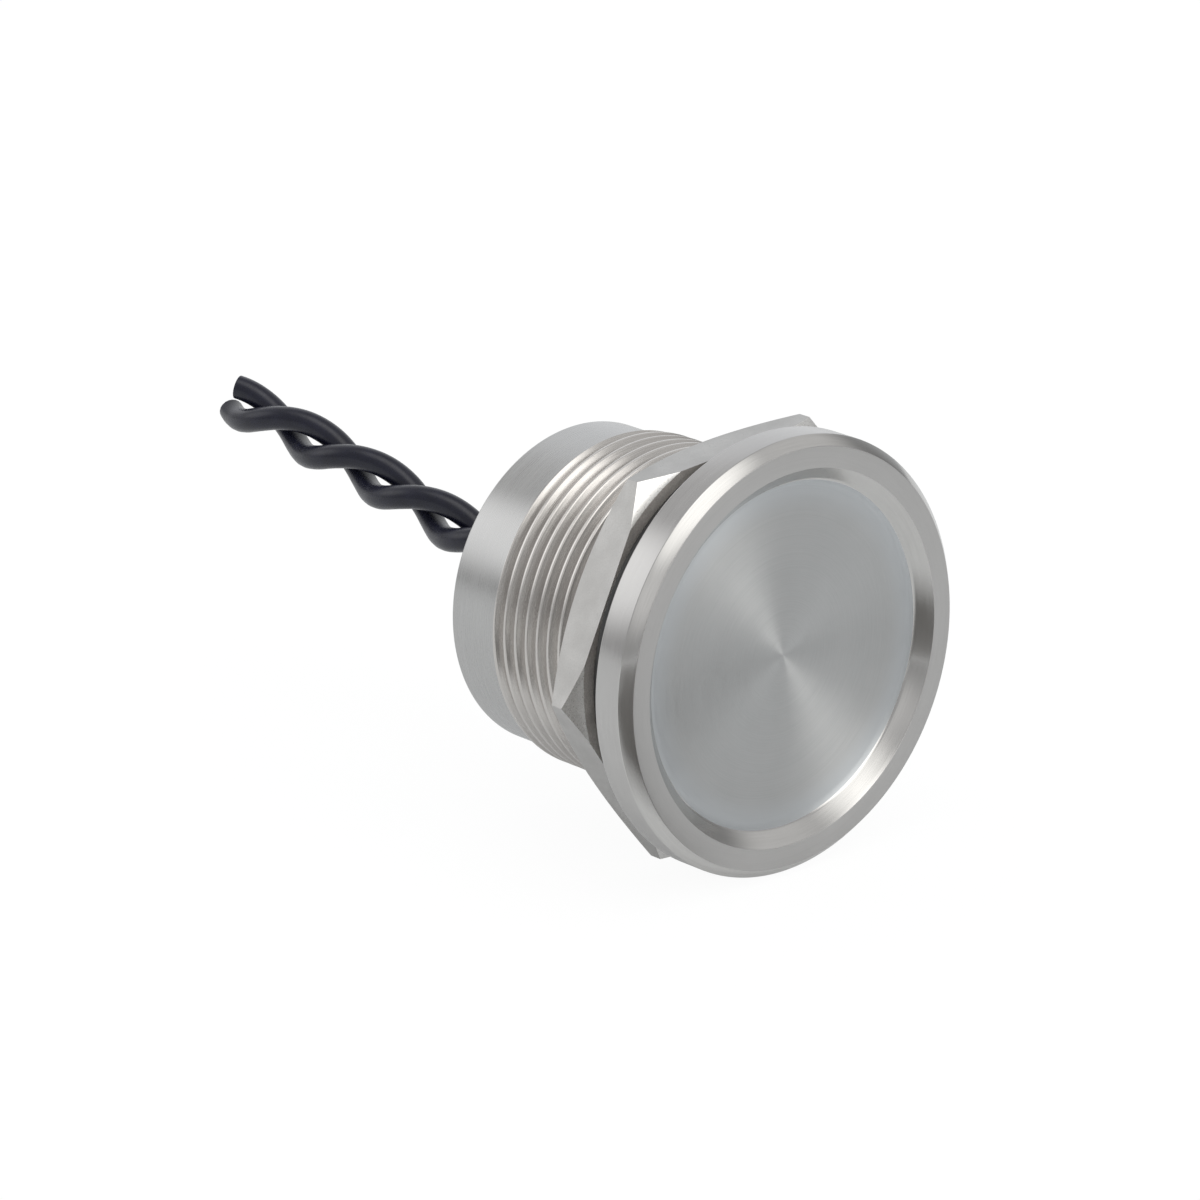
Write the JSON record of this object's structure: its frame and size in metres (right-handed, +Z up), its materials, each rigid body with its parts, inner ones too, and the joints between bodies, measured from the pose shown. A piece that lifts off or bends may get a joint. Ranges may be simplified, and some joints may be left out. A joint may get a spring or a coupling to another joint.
{
  "type": "piezo push button",
  "caption": "Round steel piezo push button with a recessed touch face, threaded barrel, hexagon nut, seal ring and a short twisted pair of leads.",
  "frame": {"origin": "centre of the flange's rear face, which seats on the panel", "axes": "+Y along the barrel, from the touch face to the leads; +Z up; +X to the right seen from the front"},
  "size_m": [0.0286, 0.0543, 0.028],
  "materials": {
    "housing_steel": "turned and satin brushed stainless steel",
    "nut_steel": "fine satin stainless steel",
    "seal_rubber": "black moulded rubber",
    "film_plastic": "amber film",
    "plate_brass": "rolled brass",
    "ceramic": "fired ceramic with a silvered face",
    "ring_plastic": "moulded plastic",
    "board_laminate": "green glass laminate",
    "package_plastic": "black moulding compound with tinned terminals",
    "chip_ceramic": "glazed chip with tinned ends",
    "copper": "stranded copper",
    "solder": "bright solder",
    "lead_insulation": "black soft plastic with a satin sheen",
    "potting_resin": "cast black resin"
  },
  "bodies": {
    "button": {"housing": "housing_steel", "seal_ring": "seal_rubber", "insulating_film": "film_plastic", "piezo_plate": "plate_brass", "piezo_ceramic": "ceramic", "support_ring": "ring_plastic", "circuit_board": "board_laminate", "bridge_rectifier": "package_plastic", "switching_transistor": "package_plastic", "protection_diode": "package_plastic", "gate_resistor": "chip_ceramic", "bleed_resistor": "chip_ceramic", "charge_capacitor": "chip_ceramic", "ceramic_wire": "copper", "ceramic_solder": "solder", "ceramic_wire_joint": "solder", "plate_wire": "copper", "plate_solder": "solder", "plate_wire_joint": "solder", "lead_a": "lead_insulation", "lead_b": "lead_insulation", "conductor_a": "copper", "conductor_b": "copper", "lead_solder_a": "solder", "lead_solder_b": "solder", "potting": "potting_resin"},
    "nut": {"hex_nut": "nut_steel"}
  },
  "joints": [
    {"name": "nut_travel", "type": "slide", "parent": "button", "child": "nut", "axis": [0, 1, 0], "range_m": [0, 0.008]}
  ]
}
